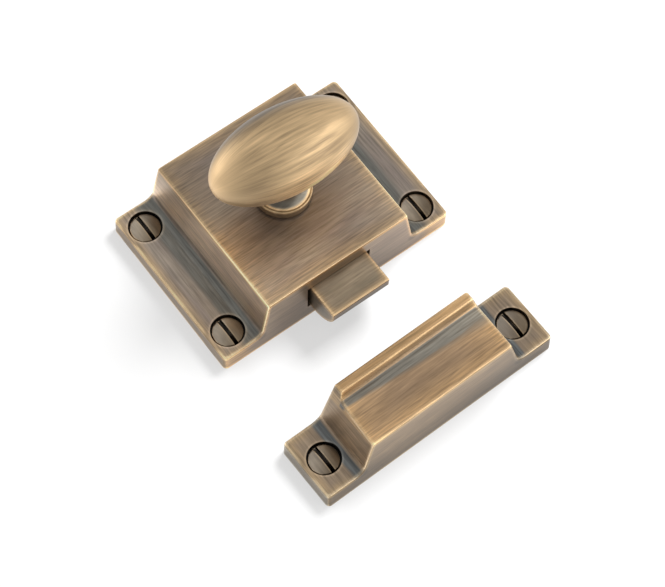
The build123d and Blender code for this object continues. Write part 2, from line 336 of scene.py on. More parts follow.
def brushedLines(place, across, along, axis):
    # fine and broad brush marks that run along one axis
    fine = [across] * 3
    broad = [across / brushValues["wider"]] * 3
    fine[axis] = along
    broad[axis] = along / brushValues["shorter"]
    return (
        noise(stretched(place, *fine), 1.0, *brushValues["fine"]),
        noise(stretched(place, *broad), 1.0, *brushValues["broad"]),
    )


def aside(x, y):
    return x * rightward[0] + y * rightward[1]


# Finish and painted light and shade of the castings and the bolt

brassValues = {
    "body": colour(171, 156, 139),
    "deep": colour(143, 129, 119),
    "warm": colour(184, 156, 121),
    "worn": colour(250, 214, 164),
    "patina": colour(114, 113, 106),
    # the black of the painted shade in the screw recesses
    "recessShade": colour(20, 16, 12),
    "edgeReach": 1.1 * mm,
    "hollowReach": 3.0 * mm,
    "roughness": 0.37,
    "bumpHeight": 0.02 * mm,
    "streakAcross": 2200.0,
    "streakAlong": 120.0,
    "clouds": 110.0,
    # between which values each layer comes in
    "markLimits": (0.34, 0.68),
    "cloudLimits": (0.35, 0.70),
    "tarnishLimits": (0.22, 0.85),
    "hollowLimits": (0.8, 0.45),
    "wornLimits": (0.98, 0.66),
    # how much of each layer there is, and how much the brushing breaks it up
    "markLeast": 0.12,
    "markShare": 0.76,
    "cloudShare": 0.3,
    "warmShare": 0.75,
    "tarnishShare": 0.9,
    "hollowShare": 0.5,
    "wornShare": 0.9,
    "calmWorn": 0.08,
    "broadBrushing": 1.1,
    "fineBrushing": 0.9,
    "brushedMarks": 0.5,
    "brushedWarm": 0.8,
    "brushedTarnish": 1.15,
    "brushedWorn": 0.16,
    "fineTone": 1.6,
    "broadTone": 0.25,
    # painted light and shade: how light and in what tint each side is painted against the top
    "endShare": 2.05,
    "rimShare": 0.60,
    "frontShare": 0.76,
    "frontTint": (1.13, 1.0, 0.85),
    "lowTint": (0.97, 1.0, 1.03),
    "endTint": (1.04, 1.0, 0.94),
    # painted light and shade, a slow change of tone over each side: (power, power, share) of the two lengths
    # along it
    "topPaintedLight": (
        (0, 0, -0.12), (1, 0, -0.41), (0, 1, -0.61), (2, 0, 0.14), (1, 1, 0.10), (0, 2, 0.01),
        (3, 0, 0.34), (2, 1, -0.18), (1, 2, 0.16), (0, 3, 0.64),
    ),
    "endPaintedLight": ((0, 0, 0.73), (1, 0, 1.06), (0, 1, -0.99), (2, 0, -0.25), (1, 1, -1.65), (0, 2, -0.04)),
    "frontPaintedLight": ((0, 0, -0.77), (1, 0, 0.10), (2, 0, 0.39), (0, 1, 0.63)),
    "lowPaintedLight": ((0, 0, 0.045), (1, 0, -0.055)),
    # worn edges and screw rims of the flanges are lighter, the line at the foot of a slope is darker with
    # painted shade
    "wornGain": 0.3,
    "rimGain": 0.3,
    "footLoss": 0.32,
}

keepValues = {
    "body": colour(187, 156, 122),
    "deep": colour(156, 130, 103),
    "warm": colour(198, 160, 114),
    # painted light and shade on each side of the keep
    "endShare": 1.25,
    "rimShare": 0.52,
    "frontTint": (0.955, 1.0, 1.0),
    "lowTint": (0.88, 1.0, 1.18),
    "endTint": (0.90, 1.0, 1.16),
    "topPaintedLight": ((0, 0, 0.0), (1, 0, 0.10), (0, 1, 0.47), (2, 0, 0.17), (1, 1, 0.24), (0, 2, 0.56)),
    "endPaintedLight": ((0, 0, 0.68), (1, 0, -0.81), (0, 1, -0.94), (2, 0, -0.77), (1, 1, 0.33), (0, 2, 0.11)),
    "frontPaintedLight": ((0, 0, -0.62), (1, 0, -0.09), (2, 0, -0.22), (0, 1, 0.86)),
    "lowPaintedLight": ((0, 0, -0.085), (1, 0, -0.03)),
    # painted light and shade on the top of the ridge and its front against the top, and painted shade along
    # the ridge's foot
    "ridgeLoss": 0.42,
    "ridgeFrontGain": 0.55,
    "valleyLoss": 0.4,
}

boltValues = {
    "body": colour(183, 164, 139),
    "deep": colour(131, 119, 100),
    # painted light and shade on each side, and painted shade under the nose
    "endShare": 0.62,
    "frontShare": 0.16,
    "frontTint": (1.24, 1.0, 0.70),
    "underShare": 0.45,
    "warmReach": 2.6 * mm,
    "warmLimits": (0.97, 0.62),
    "brushedEdge": 0.2,
    "patinaLimits": (0.9, 0.6),
}

# between which parts of the normal a face counts as one of these
facingLimits = {
    "end": (0.5, 0.9),
    "front": (0.6, 0.9),
    "slope": (0.4, 0.6),
    "notFront": (0.7, 0.5),
    "notPlainFront": (0.8, 0.5),
    "under": (-0.1, -0.6),
}

# where each mark of the castings starts and where it is full
markValues = {
    "flange": (-0.2 * mm, 0.6 * mm),
    "patinaFull": 1.0 * mm,
    "patinaFoot": (2.2 * mm, 0.4 * mm),
    "footLine": (2.0 * mm, 0.7 * mm),
    "rise": (0.4 * mm, -0.2 * mm),
    "topFace": (-1.5 * mm, -0.5 * mm),
    "warmRim": (6.0 * mm, 0.3 * mm),
    "warmEnds": (14.0 * mm, 2.0 * mm),
    "warmOuter": (3.4 * mm, 0.3 * mm),
    "warmFlange": (2.0 * mm, 6.0 * mm),
    "dipFront": (4.6 * mm, 0.6 * mm),
    "dipBack": (-1.3 * mm, -0.5 * mm),
    "warmRidge": (-1.4 * mm, -2.2 * mm),
    "recessShadeRing": (4.44 * mm, 4.36 * mm),
    "recessShadeDepth": (-0.05 * mm, -0.35 * mm),
    "recessShadeFoot": (0.5 * mm, 1.5 * mm),
    "calmRing": (5.2 * mm, 6.4 * mm),
    "rimOutside": (4.95 * mm, 4.65 * mm),
    "rimInside": (4.38 * mm, 4.46 * mm),
    "rimDepth": (-0.6 * mm, -0.2 * mm),
    "slotEdge": (1.4 * mm, 0.8 * mm),
    "slotFront": (0.0, -1.0 * mm),
    "slotFoot": (1.5 * mm, 2.5 * mm),
    "endways": (0.2 * mm, 0.6 * mm),
    "cove": (3.0 * mm, 1.2 * mm),
    "coveEnd": (-1.2 * mm, -1.6 * mm),
    "endRim": (-1.0 * mm, -0.6 * mm),
    "aboveFlange": (1.0 * mm, 3.0 * mm),
    "ridge": (0.3 * mm, 0.7 * mm),
    "valleyPlace": 0.6 * mm,
    "valleyLine": (0.9 * mm, 0.4 * mm),
    "valleyHeight": (17.0 * mm, 17.6 * mm),
}


def screwMarks(x, y, z, shape, marks):
    # painted black shade in the recesses, with a light rim round them, and calm edges beside the rim
    besideX = abs(x) - shape["screwX"]
    besideY = abs(y) - shape["screwY"]
    ring = root(besideX * besideX + besideY * besideY)
    recessShade = step(ring, *marks["recessShadeRing"]) * stepFrom(z, shape["flange"], marks["recessShadeDepth"])
    recessShade = recessShade * step(z, *marks["recessShadeFoot"])
    rimLine = step(ring, *marks["rimOutside"]) * step(ring, *marks["rimInside"])
    rimLine = rimLine * stepFrom(z, shape["flange"], marks["rimDepth"])
    return recessShade, step(ring, *marks["calmRing"]), rimLine


def caseMarks(x, y, z, shape, marks):
    # where the case and the keep are dark with patina, warm with handling and painted black with shade in
    # their recesses
    out = abs(x) - shape["foot"]
    rise = z - shape["flange"]
    fromFoot = root(out * out + rise * rise)
    patina = step(fromFoot, shape["patinaReach"], marks["patinaFull"]) * step(out, *marks["flange"])
    patina = larger(patina, step(fromFoot, *marks["patinaFoot"]) * 0.5)

    onTop = stepFrom(z, shape["top"], marks["topFace"])
    inEnds = shape["half"] - abs(x)
    inside = smaller(smaller(inEnds, y + shape["brow"]), shape["back"] - y)
    warm = step(inside, *marks["warmRim"]) * onTop
    warm = larger(warm, step(inEnds, *marks["warmEnds"]) * onTop * 0.5)
    outer = smaller(shape["reach"] - abs(x), shape["deep"] - abs(y))
    warm = larger(warm, step(outer, *marks["warmOuter"]) * step(out, *marks["warmFlange"]))
    if "valley" in shape:
        # the dark dip in front of the ridge is wider toward the right end
        ahead = shape["valley"] - y
        spread = ahead / (1 + x / shape["half"] * 0.6)
        dip = step(spread, *marks["dipFront"]) * step(ahead, *marks["dipBack"]) * onTop
        patina = larger(patina, dip * stepFrom(abs(x), shape["half"], marks["rise"]) * 0.8)
        warm = larger(warm, step(ahead, *marks["warmRidge"]) * onTop * 1.25)

    recessShade, calm, rimLine = screwMarks(x, y, z, shape, marks)
    # the rim of the bolt's slot isn't rubbed bright
    nearSlot = stepFrom(abs(x), shape["slotHalf"], marks["slotEdge"])
    nearSlot = nearSlot * stepFrom(z, shape["slotTop"], marks["slotEdge"]) * step(y, *marks["slotFront"])
    calm = calm * (1 - nearSlot * step(z, *marks["slotFoot"]))
    # painted shade along the crease at the foot of a slope
    footLine = step(fromFoot, *marks["footLine"])
    return patina, warm, recessShade, calm, rimLine, footLine


def sideTones(spot, onEnd, onFront, worn, rimLine, footLine, values, shape, marks):
    # how light each place of a casting is painted, painted light and shade: its side, the slow changes over
    # it, and the fine lines
    x, y, z = spot
    u, v, w = x / shape["half"], y / shape["brow"], z / shape["top"]
    v = smaller(v, shape["paintedLightBack"])
    rim = stepFrom(abs(x), shape["reach"], marks["endRim"]) * onEnd
    onTop = (1 - onEnd) * (1 - onFront) * stepFrom(z, shape["flange"], marks["aboveFlange"])
    low = 1 - stepFrom(z, shape["flange"], marks["aboveFlange"])
    # painted light and shade: slow changes of tone over the top, the ends and the fronts
    top = paintedLight(u, v, values["topPaintedLight"]) - 1
    end = paintedLight(v, w, values["endPaintedLight"]) - 1
    front = paintedLight(u, w, values["frontPaintedLight"]) - 1
    # painted light and shade: each side lighter or darker than the top
    lit = 1 + onEnd * (values["endShare"] - 1) + onFront * (values["frontShare"] - 1)
    lit = lit + rim * (values["rimShare"] - values["endShare"])
    lit = lit * (1 + top * onTop + end * onEnd * (1 - rim) + front * onFront)
    lit = lit * (1 + low * (1 - onEnd) * (paintedLight(u, v, values["lowPaintedLight"]) - 1))
    lit = lit * (1 + worn * low * values["wornGain"] + rimLine * values["rimGain"])
    lit = lit * (1 - footLine * values["footLoss"])
    if "valley" in shape:
        # painted light and shade: the ridge's top is darker and its front lighter, so the front is golden
        # like its top, with a painted shade line along its foot
        onRidge = stepFrom(z, shape["ridgeFoot"], marks["ridge"])
        line = abs(y - (shape["valley"] + marks["valleyPlace"]))
        foot = step(line, *marks["valleyLine"]) * (1 - onRidge) * (1 - onEnd)
        lit = lit * (1 + onRidge * (onFront * values["ridgeFrontGain"] - values["ridgeLoss"]))
        lit = lit * (1 - foot * step(z, *marks["valleyHeight"]) * values["valleyLoss"])
    return lit, low


def castColour(place, fine, broad, hollow, edge, patina, warm, calm, values):
    # the paint of cast brass, and how tarnished and how worn it is
    brushing = (broad - 0.5) * values["broadBrushing"] + (fine - 0.5) * values["fineBrushing"]
    tarnish = step(patina * values["brushedTarnish"] + brushing * patina, *values["tarnishLimits"])
    worn = step(edge + (fine - 0.5) * values["brushedWorn"], *values["wornLimits"])
    worn = worn * (values["calmWorn"] + (1 - values["calmWorn"]) * calm)
    marked = step(broad + (fine - 0.5) * values["brushedMarks"], *values["markLimits"])
    clouded = step(noise(place, values["clouds"], 3.0, 0.55), *values["cloudLimits"])
    inHollow = step(hollow, *values["hollowLimits"])
    body = mixColour(values["markLeast"] + marked * values["markShare"], values["body"], values["deep"])
    body = mixColour(clouded * values["cloudShare"], body, values["deep"])
    body = mixColour(warm * (values["warmShare"] + brushing * values["brushedWarm"]), body, values["warm"])
    body = mixColour(tarnish * values["tarnishShare"], body, values["patina"])
    body = mixColour(inHollow * values["hollowShare"], body, values["patina"])
    body = mixColour(worn * values["wornShare"], body, values["worn"])
    return body, tarnish, worn


def brushedEndways(place, x, facing, fine, broad, values, shape, marks):
    # the ends past the shoulders are brushed across the piece, but not on its front and back
    fineAcross, broadAcross = brushedLines(place, values["streakAcross"], values["streakAlong"], 1)
    past = stepFrom(abs(x), shape["half"], marks["endways"])
    endways = larger(past, step(abs(facing[0]), *facingLimits["slope"]))
    endways = endways * step(abs(facing[1]), *facingLimits["notFront"])
    return fine + (fineAcross - fine) * endways, broad + (broadAcross - broad) * endways


def finishCast(start, body, lit, fine, broad, tarnish, worn, values):
    shade = (1 + (fine - 0.5) * values["fineTone"] + (broad - 0.5) * values["broadTone"]) * lit
    roughness = values["roughness"] + tarnish * 0.06 - worn * 0.08 + (fine - 0.5) * 0.10
    finishMaterial(start, scaleColour(body, shade), roughness, fine, values["bumpHeight"], 0.6)


def makeCastBrass(name, values, shape, marks):
    # brushed brass with a dark patina in its hollows and bright worn edges, painted light and shade on its
    # sides and painted black shade in its recesses
    material, start = startMaterial(name)
    place = start.node("ShaderNodeTexCoord", output="Object")
    centre, turn = shape.get("centre", (0.0, 0.0, 0.0)), shape.get("turn", 0.0)
    laid = start.node(
        "ShaderNodeMapping", {"vector_type": "TEXTURE"},
        {"Vector": place, "Location": centre, "Rotation": (0.0, 0.0, turn)},
    )
    x, y, z = separate(laid)
    facing = separate(start.node("ShaderNodeTexCoord", output="Normal"))
    hollow = occlusion(start, values["hollowReach"], False)
    edge = occlusion(start, values["edgeReach"], True)
    fine, broad = brushedLines(laid, values["streakAcross"], values["streakAlong"], 0)
    fine, broad = brushedEndways(laid, x, facing, fine, broad, values, shape, marks)
    patina, warm, recessShade, calm, rimLine, footLine = caseMarks(x, y, z, shape, marks)
    patina = patina * step(abs(facing[1]), *facingLimits["notPlainFront"])
    body, tarnish, worn = castColour(laid, fine, broad, hollow, edge, patina, warm, calm, values)
    # painted shade: the screw recesses are painted black
    body = mixColour(recessShade, body, values["recessShade"])

    # the hollow at the foot of a slope gets no more light than the flange
    inCove = stepFrom(z, shape["flange"], marks["cove"]) * stepFrom(abs(x), shape["reach"], marks["coveEnd"])
    onEnd = step(abs(facing[0]), *facingLimits["end"]) * (1 - inCove)
    onFront = step(abs(facing[1]), *facingLimits["front"])
    lit, low = sideTones((x, y, z), onEnd, onFront, worn, rimLine, footLine, values, shape, marks)
    # painted light and shade: the fronts, the low faces and the ends get their own tints
    body = tintedWhere(onFront, body, values["frontTint"])
    body = tintedWhere(low * (1 - onFront), body, values["lowTint"])
    body = tintedWhere(onEnd, body, values["endTint"])
    finishCast(start, body, lit, fine, broad, tarnish, worn, values)
    return material


def makeBoltBrass(name, values):
    # the same brass, warm towards its edges, with painted light and shade on its sides and the darkest
    # painted shade on the side under its nose
    material, start = startMaterial(name)
    place = start.node("ShaderNodeTexCoord", output="Object")
    facing = separate(start.node("ShaderNodeTexCoord", output="Normal"))
    hollow = occlusion(start, values["hollowReach"], False)
    edge = occlusion(start, values["edgeReach"], True)
    fine, broad = brushedLines(place, values["streakAcross"], values["streakAlong"], 0)
    nearEdge = occlusion(start, values["warmReach"], True)
    patina = step(hollow, *values["patinaLimits"])
    warm = step(nearEdge + (fine - 0.5) * values["brushedEdge"], *values["warmLimits"])
    body, tarnish, worn = castColour(place, fine, broad, hollow, edge, patina, warm, 1.0, values)

    onEnd = step(abs(facing[0]), *facingLimits["end"])
    onFront = step(abs(facing[1]), *facingLimits["front"])
    under = step(facing[2], *facingLimits["under"])
    # painted light and shade on each side, darkest where it faces down
    lit = 1 + onEnd * (values["endShare"] - 1) + onFront * (values["frontShare"] - 1)
    lit = lit * (1 + under * (values["underShare"] - 1))
    body = tintedWhere(onFront, body, values["frontTint"])
    finishCast(start, body, lit, fine, broad, tarnish, worn, values)
    return material


# Finish and painted light and shade of the knob

knobValues = {
    "gold": colour(212, 186, 148),
    "olive": colour(182, 159, 126),
    "dark": colour(130, 113, 90),
    "neck": colour(116, 114, 106),
    "roughness": 0.45,
    "bumpHeight": 0.05 * mm,
    "centreHeight": 40.3 * mm,
    "halfLength": 20.45 * mm,
    "halfWidth": 10.9 * mm,
    "turn": math.radians(-3.9),
    # from the tips to the middle of the oval
    "middle": (0.96, 0.40),
    "patchLimits": (0.36, 0.66),
    "streakLimits": (0.51, 0.76),
    "streakShare": 0.8,
    # painted shade on the neck and the collar's side, painted highlight on the lip
    "neckShare": 0.9,
    "neckLoss": 0.5,
    "sideLoss": 0.55,
    "lipGain": 0.6,
    # the marks' scales along the oval and round it
    "fineScale": (85.0, 1700.0),
    "broadScale": (45.0, 600.0),
    "cloudScale": (48.0, 150.0),
    # heights and distances from the axis of the neck and of the collar's lip
    "ovalFoot": (30.5 * mm, 29.0 * mm),
    "neckEdge": (6.7 * mm, 6.1 * mm),
    "neckShade": (4.0 * mm, 0.5 * mm),
    "lipFoot": (21.3 * mm, 20.9 * mm),
    "lipTop": (21.3 * mm, 21.6 * mm),
    "lipRadius": 6.5 * mm,
    "lipLine": (0.6 * mm, 0.2 * mm),
    "tint": (1.05, 1.0, 0.925),
    # painted light and shade over the oval: (power, power, share) of the lengths along it and across it
    "paintedLight": (
        (0, 0, -0.14), (1, 0, 0.05), (0, 1, -0.20), (2, 0, 0.89), (1, 1, -0.51), (0, 2, -1.32),
        (3, 0, -0.46), (2, 1, 0.25), (1, 2, 0.36), (0, 3, -1.03),
        (4, 0, -0.95), (3, 1, 0.37), (2, 2, -1.57), (1, 3, -0.05), (0, 4, 0.76),
    ),
}


def knobMarks(laid, x, y, z, values):
    # the streaks follow the surface from tip to tip, so the place is moved out to a tube round the oval
    up = z - values["centreHeight"]
    share = values["halfWidth"] / root(y * y + up * up + 1e-8)
    around = laid.node("ShaderNodeCombineXYZ", {}, {0: x, 1: y * share, 2: up * share})
    sizes = [(along, across, across) for along, across in (
        values["fineScale"], values["broadScale"], values["cloudScale"],
    )]
    return (
        noise(stretched(around, *sizes[0]), 1.0, 2.0, 0.6),
        noise(stretched(around, *sizes[1]), 1.0, 3.0, 0.6),
        noise(stretched(around, *sizes[2]), 1.0, 2.0, 0.5),
    )


def makeKnobBrass(name, values):
    # lighter brass, brushed from end to end of the oval, with painted light and shade over it
    material, start = startMaterial(name)
    place = start.node("ShaderNodeTexCoord", output="Object")
    turned = {"Vector": place, "Rotation": (0.0, 0.0, values["turn"])}
    laid = start.node("ShaderNodeMapping", {"vector_type": "TEXTURE"}, turned)
    x, y, z = separate(laid)
    middle = step(abs(x) / values["halfLength"], *values["middle"])
    fine, broad, cloud = knobMarks(laid, x, y, z, values)
    patches = step(cloud + (broad - 0.5) * 0.5, *values["patchLimits"]) * (0.3 + middle * 0.7)
    streaks = step(broad + (fine - 0.5) * 0.5 + (cloud - 0.5) * 0.4, *values["streakLimits"]) * middle
    body = mixColour(patches, values["gold"], values["olive"])
    body = mixColour(streaks * values["streakShare"], body, values["dark"])
    body = tinted(body, values["tint"])
    # painted shade: the neck under the oval is painted dark
    fromAxis = root(x * x + y * y)
    below = step(z, *values["ovalFoot"])
    onNeck = below * step(fromAxis, *values["neckEdge"])
    body = mixColour(onNeck * values["neckShare"], body, values["neck"])

    shade = 1 + (fine - 0.5) * (0.25 + 1.0 * middle) + (broad - 0.5) * 0.2
    # painted light and shade over the oval, not on the neck and the collar
    tone = paintedLight(x / values["halfLength"], y / values["halfWidth"], values["paintedLight"]) - 1
    shade = shade * (1 + tone * (1 - below))
    # painted light and shade: the neck is dark on its front left, and the collar's side dark below its lip,
    # which has a painted highlight
    shade = shade * (1 - onNeck * step(aside(x, y), *values["neckShade"]) * values["neckLoss"])
    shade = shade * (1 - (below - onNeck) * step(z, *values["lipFoot"]) * values["sideLoss"])
    # a painted highlight along the collar's lip
    lip = below * step(abs(fromAxis - values["lipRadius"]), *values["lipLine"]) * step(z, *values["lipTop"])
    shade = shade * (1 + lip * values["lipGain"])
    roughness = values["roughness"] + (fine - 0.5) * 0.12
    bump = fine * (0.2 + 0.8 * middle)
    finishMaterial(start, scaleColour(body, shade), roughness, bump, values["bumpHeight"], 0.5)
    return material


# Finish and painted light and shade of the screws and the washer

screwValues = {
    "body": colour(174, 156, 130),
    "dark": colour(120, 104, 84),
    "grey": colour(170, 166, 160),
    "worn": colour(235, 205, 160),
    # the black of the painted shade in the slots and hollows
    "recessShade": colour(18, 14, 10),
    "roughness": 0.36,
    "bumpHeight": 0.03 * mm,
    "streakAcross": 2400.0,
    "streakAlong": 160.0,
    "hollowReach": 1.2 * mm,
    "edgeReach": 0.4 * mm,
    "darkLimits": (0.4, 0.66),
    "wornLimits": (0.97, 0.7),
    "wornShare": 0.7,
    "recessShadeLimits": (0.92, 0.70),
    # between the case and the keep
    "gap": (-39.0 * mm, -41.0 * mm),
    # painted light and shade from the left of a head to its right
    "headHalf": 3.5 * mm,
    "rightDark": 0.6,
    "leftGrey": 0.35,
    "leftTone": 1.22,
    "rightTone": 0.77,
}


def besideScrew(place, values):
    # how far to the right of its screw's axis a place is
    x, y, z = separate(place)
    onKeep = step(y, *values["gap"])
    keepX, keepY, _ = keepShape["centre"]
    reach = caseShape["screwX"] + onKeep * (keepShape["screwX"] - caseShape["screwX"])
    depth = caseShape["screwY"] + onKeep * (-keepY - caseShape["screwY"])
    across = x - onKeep * keepX
    fromX = across - sign(across) * reach
    fromY = y - sign(y) * depth - onKeep * x * math.sin(keepShape["turn"])
    return aside(fromX, fromY)


def makeScrewBrass(name, values, heads=True):
    material, start = startMaterial(name)
    place = start.node("ShaderNodeTexCoord", output="Object")
    fine, broad = brushedLines(place, values["streakAcross"], values["streakAlong"], 1)
    hollow = occlusion(start, values["hollowReach"], False)
    edge = occlusion(start, values["edgeReach"], True)
    body = mixColour(step(broad, *values["darkLimits"]), values["body"], values["dark"])
    body = mixColour(step(edge, *values["wornLimits"]) * values["wornShare"], body, values["worn"])
    shade = 0.8 + fine * 0.4
    if heads:
        # painted light and shade: each head is lighter and greyer on its left half, dark and brown on its
        # right
        right = step(besideScrew(place, values), -values["headHalf"], values["headHalf"])
        body = mixColour(right * values["rightDark"], body, values["dark"])
        body = mixColour((1 - right) * values["leftGrey"], body, values["grey"])
        shade = shade * (values["leftTone"] + right * (values["rightTone"] - values["leftTone"]))
    # painted shade: black where the slot and the hollows are deep
    body = mixColour(step(hollow, *values["recessShadeLimits"]), body, values["recessShade"])
    roughness = values["roughness"] + (fine - 0.5) * 0.1
    finishMaterial(start, scaleColour(body, shade), roughness, fine, values["bumpHeight"], 0.5)
    return material


# Finish of the plain metals

metalValues = {
    # base colour, roughness
    "plateSteel": (colour(150, 146, 138), 0.45),
    "bushBrass": (colour(190, 160, 110), 0.35),
    "brightSteel": (colour(190, 190, 188), 0.25),
}
plainValues = {
    "streakAcross": 1800.0,
    "streakAlong": 200.0,
    "clouds": 400.0,
    "cloudDepth": 0.72,
    "bumpHeight": 0.02 * mm,
}


def makePlainMetal(name, base, rough, values):
    material, start = startMaterial(name)
    place = start.node("ShaderNodeTexCoord", output="Object")
    fine, broad = brushedLines(place, values["streakAcross"], values["streakAlong"], 0)
    cloud = noise(place, values["clouds"], 3.0, 0.6)
    darker = (*[c * values["cloudDepth"] for c in base[:3]], 1.0)
    body = mixColour(step(cloud, 0.4, 0.7) * 0.5, base, darker)
    roughness = rough + (broad - 0.5) * 0.15
    finishMaterial(start, scaleColour(body, 0.9 + fine * 0.2), roughness, fine, values["bumpHeight"], 0.3)
    return material


caseBrass = makeCastBrass("caseBrass", brassValues, caseShape, markValues)
keepBrass = makeCastBrass("keepBrass", {**brassValues, **keepValues}, keepShape, markValues)
boltBrass = makeBoltBrass("boltBrass", {**brassValues, **boltValues})
knobBrass = makeKnobBrass("knobBrass", knobValues)
screwBrass = makeScrewBrass("screwBrass", screwValues)
washerBrass = makeScrewBrass("washerBrass", screwValues, heads=False)
metals = {name: makePlainMetal(name, *values, plainValues) for name, values in metalValues.items()}
print("finishes made")


# Pieces that follow a rule, made by Geometry Nodes

mergeDistance = 0.001 * mm
sharpAngle = math.radians(35)


def startShape(name, sizes):
    # a tree whose sizes are named inputs
    tree = bpy.data.node_groups.new(name, "GeometryNodeTree")
    tree.interface.new_socket("Geometry", in_out="INPUT", socket_type="NodeSocketGeometry")
    tree.interface.new_socket("Geometry", in_out="OUTPUT", socket_type="NodeSocketGeometry")
    for size, value in sizes.items():
        kind = "NodeSocketInt" if isinstance(value, int) else "NodeSocketFloat"
        tree.interface.new_socket(size, in_out="INPUT", socket_type=kind)
    entry = tree.nodes.new("NodeGroupInput")
    return Wire(tree), {socket.name: Wire(tree, socket) for socket in entry.outputs if socket.name}


def finishShape(name, start, geometry, base, sizes, material):
    # the tree's result as an object with a plain mesh
    real = start.node("GeometryNodeRealizeInstances", {}, {"Geometry": geometry})
    painted = start.node("GeometryNodeSetMaterial", {}, {"Geometry": real, "Material": material})
    start.node("NodeGroupOutput", {}, {"Geometry": painted})
    piece = bpy.data.objects.new(name, base)
    bpy.context.scene.collection.objects.link(piece)
    modifier = piece.modifiers.new("shape", "NODES")
    modifier.node_group = start.tree
    for item in start.tree.interface.items_tree:
        if item.in_out == "INPUT" and item.name in sizes:
            modifier[item.identifier] = sizes[item.name]
    mesh = bpy.data.meshes.new_from_object(piece.evaluated_get(bpy.context.evaluated_depsgraph_get()))
    piece.modifiers.remove(modifier)
    piece.data = mesh
    form = bmesh.new()
    form.from_mesh(mesh)
    bmesh.ops.remove_doubles(form, verts=form.verts, dist=mergeDistance)
    bmesh.ops.recalc_face_normals(form, faces=form.faces)
    form.to_mesh(mesh)
    form.free()
    mesh.shade_smooth()
    mesh.set_sharp_from_angle(angle=sharpAngle)
    return piece


def joined(start, x=0.0, y=0.0, z=0.0):
    return start.node("ShaderNodeCombineXYZ", {}, {0: x, 1: y, 2: z})


def moved(start, geometry, place, turn=None):
    inputs = {"Geometry": geometry, "Translation": place}
    if turn is not None:
        inputs["Rotation"] = turn
    return start.node("GeometryNodeTransform", {}, inputs)


def swept(start, line, profile):
    inputs = {"Curve": line, "Profile Curve": profile, "Fill Caps": True}
    return start.node("GeometryNodeCurveToMesh", {}, inputs)


screwSizes = {
    "Case Spread X": 2 * caseShape["screwX"],
    "Case Spread Y": 2 * caseShape["screwY"],
    "Keep Reach": keepShape["screwX"],
    "Keep X": keepShape["centre"][0],
    "Keep Y": keepShape["centre"][1],
    "Keep Turn": keepShape["turn"],
    "Core Radius": 1.4 * mm,
    "Point Radius": 0.05 * mm,
    "Thread Radius": 1.52 * mm,
    "Thread Start": 0.1 * mm,
    "Thread Size": 0.36 * mm,
    "Turns": 5,
    "Tip Turns": 2,
    "Shank Length": 7.5 * mm,
    "Tip Length": 2.9 * mm,
    "Shank Top": -0.5 * mm,
    "Round Steps": 32,
}


def screwHead(node, cut):
    # the head and neck of a CAD screw, moved to the axis and closed below
    low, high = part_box(node)
    form = bmesh.new()
    form.from_mesh(nodes[node].data)
    bmesh.ops.remove_doubles(form, verts=form.verts, dist=mergeDistance)
    everything = [*form.verts, *form.edges, *form.faces]
    bmesh.ops.bisect_plane(form, geom=everything, plane_co=(0, 0, cut), plane_no=(0, 0, 1), clear_inner=True)
    bmesh.ops.holes_fill(form, edges=[edge for edge in form.edges if edge.is_boundary])
    middle = Vector(((low[0] + high[0]) / 2, (low[1] + high[1]) / 2, 0))
    bmesh.ops.translate(form, verts=form.verts, vec=-middle)
    mesh = bpy.data.meshes.new("screwHead")
    form.to_mesh(mesh)
    form.free()
    return mesh


def screwCore(start, size, bottom, length):
    return start.node(
        "GeometryNodeMeshCone", {},
        {
            "Vertices": size["Round Steps"], "Radius Top": size["Core Radius"],
            "Radius Bottom": bottom, "Depth": length,
        },
    )


def screwHelix(start, size, turns, startRadius, length):
    return start.node(
        "GeometryNodeCurveSpiral", {},
        {
            "Resolution": size["Round Steps"], "Rotations": turns, "Start Radius": startRadius,
            "End Radius": size["Thread Radius"], "Height": length,
        },
    )


def oneScrew(start, size):
    # the head that comes in, a round shank, a pointed tip and a thread on both
    shankLength, tipLength = size["Shank Length"], size["Tip Length"]
    shankFoot = joined(start, z=size["Shank Top"] - shankLength)
    tipFoot = joined(start, z=size["Shank Top"] - shankLength - tipLength)
    shank = screwCore(start, size, size["Core Radius"], shankLength)
    tip = screwCore(start, size, size["Point Radius"], tipLength)
    wide = screwHelix(start, size, size["Turns"], size["Thread Radius"], shankLength)
    narrow = screwHelix(start, size, size["Tip Turns"], size["Thread Start"], tipLength)
    lines = [moved(start, wide, shankFoot), moved(start, narrow, tipFoot)]
    helix = start.node("GeometryNodeJoinGeometry", {}, {"Geometry": lines})
    level = start.node("GeometryNodeSetCurveNormal", {"mode": "Z_UP"}, {"Curve": helix})
    square = {"Resolution": 4, "Radius": size["Thread Size"]}
    ridge = start.node("GeometryNodeCurvePrimitiveCircle", {}, square)
    thread = swept(start, level, ridge)
    parts = [size["Geometry"], moved(start, shank, shankFoot), moved(start, tip, tipFoot), thread]
    return start.node("GeometryNodeJoinGeometry", {}, {"Geometry": parts})


